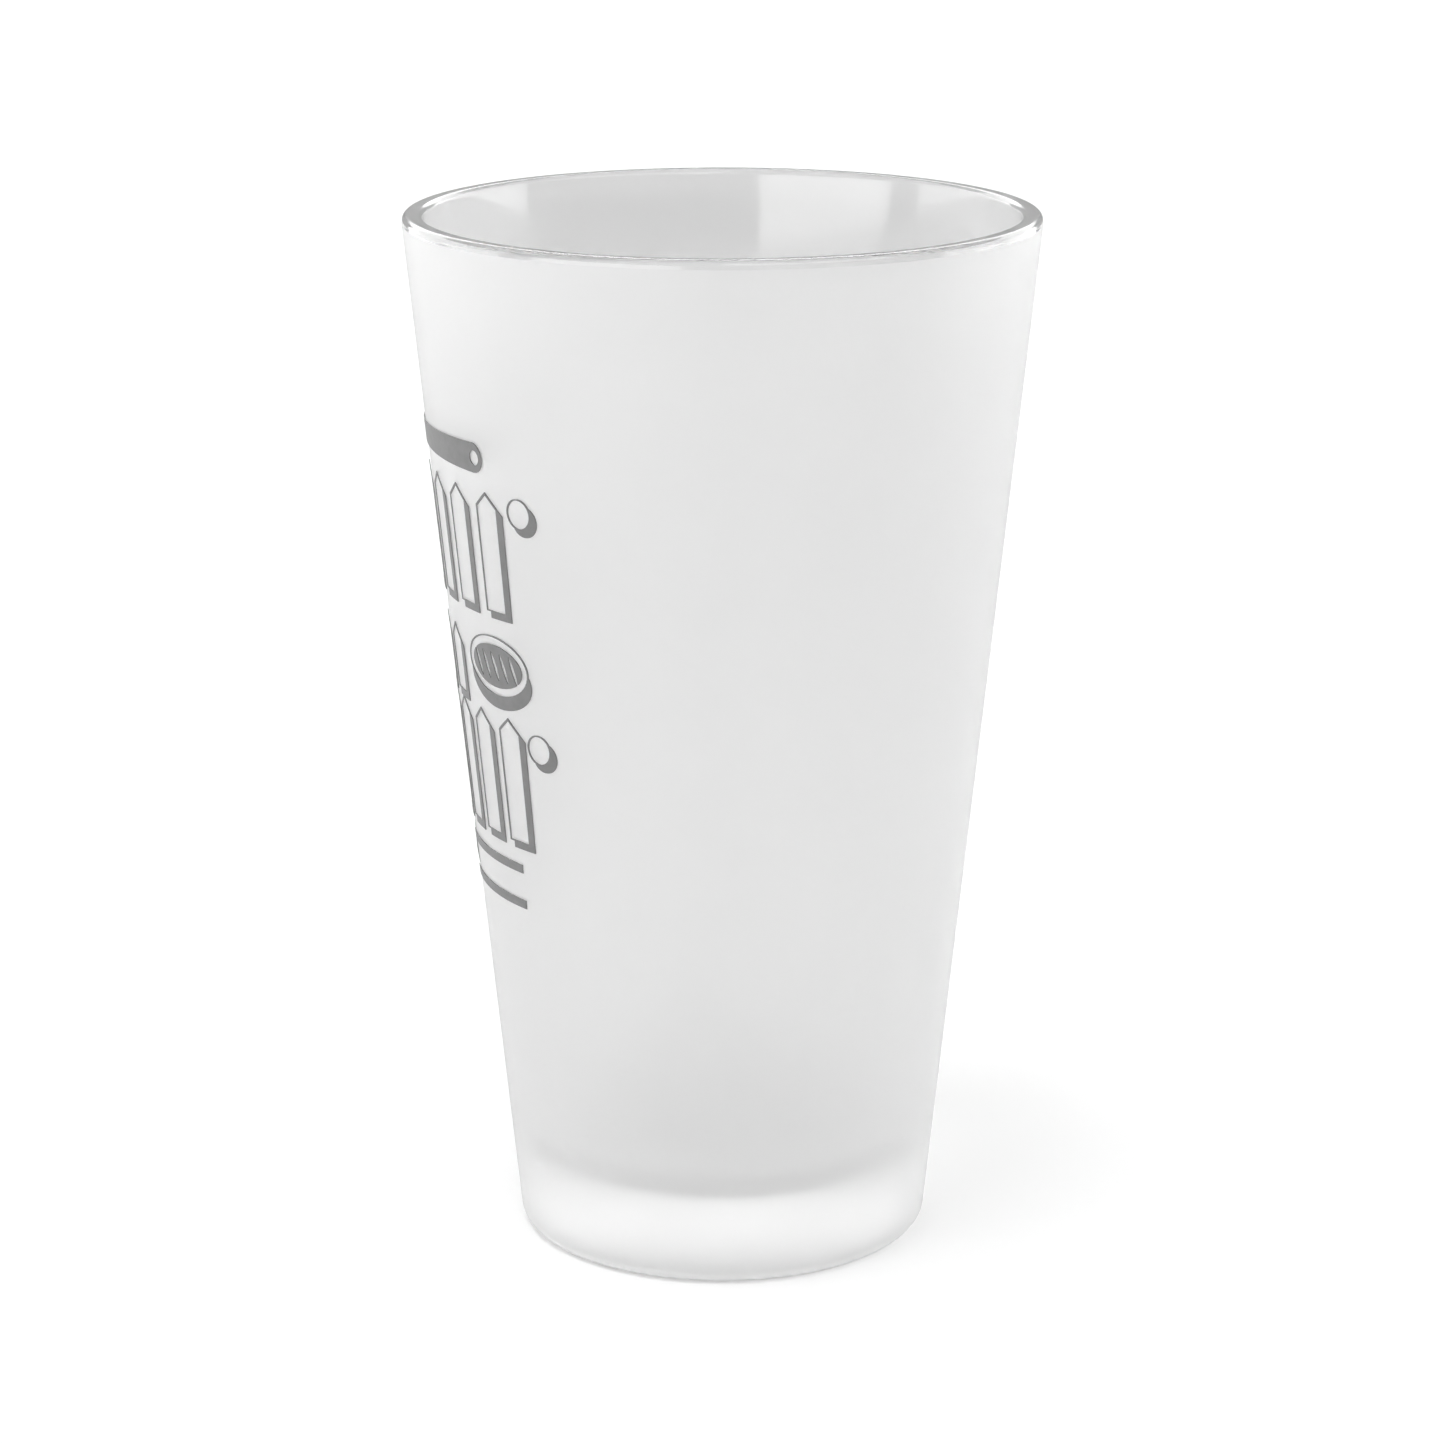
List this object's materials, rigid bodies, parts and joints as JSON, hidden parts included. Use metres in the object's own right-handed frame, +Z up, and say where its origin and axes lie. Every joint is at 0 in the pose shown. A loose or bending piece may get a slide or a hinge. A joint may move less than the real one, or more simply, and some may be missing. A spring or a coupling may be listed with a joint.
{
  "type": "frosted pint glass",
  "caption": "Straight-sided tapering pint glass with a clear rounded lip, frosted outer wall, thick base and a grey geometric print on one side.",
  "frame": {"origin": "on the glass's axis, at the table that its foot stands on", "axes": "+Z up along the glass's axis, towards the lip; the print faces -Y"},
  "size_m": [0.0898, 0.0898, 0.149],
  "materials": {
    "clear_glass": "clear, fire-polished",
    "frosted_glass": "fine satin frosting, translucent",
    "print_ink": "fired one-colour grey ink, satin"
  },
  "bodies": {
    "root": {"glass_body": "clear_glass", "frost_coat": "frosted_glass", "print_top_bar": "print_ink", "print_upper_slats": "print_ink", "print_middle_row": "print_ink", "print_lower_slats": "print_ink", "print_bottom_rules": "print_ink"}
  },
  "joints": []
}
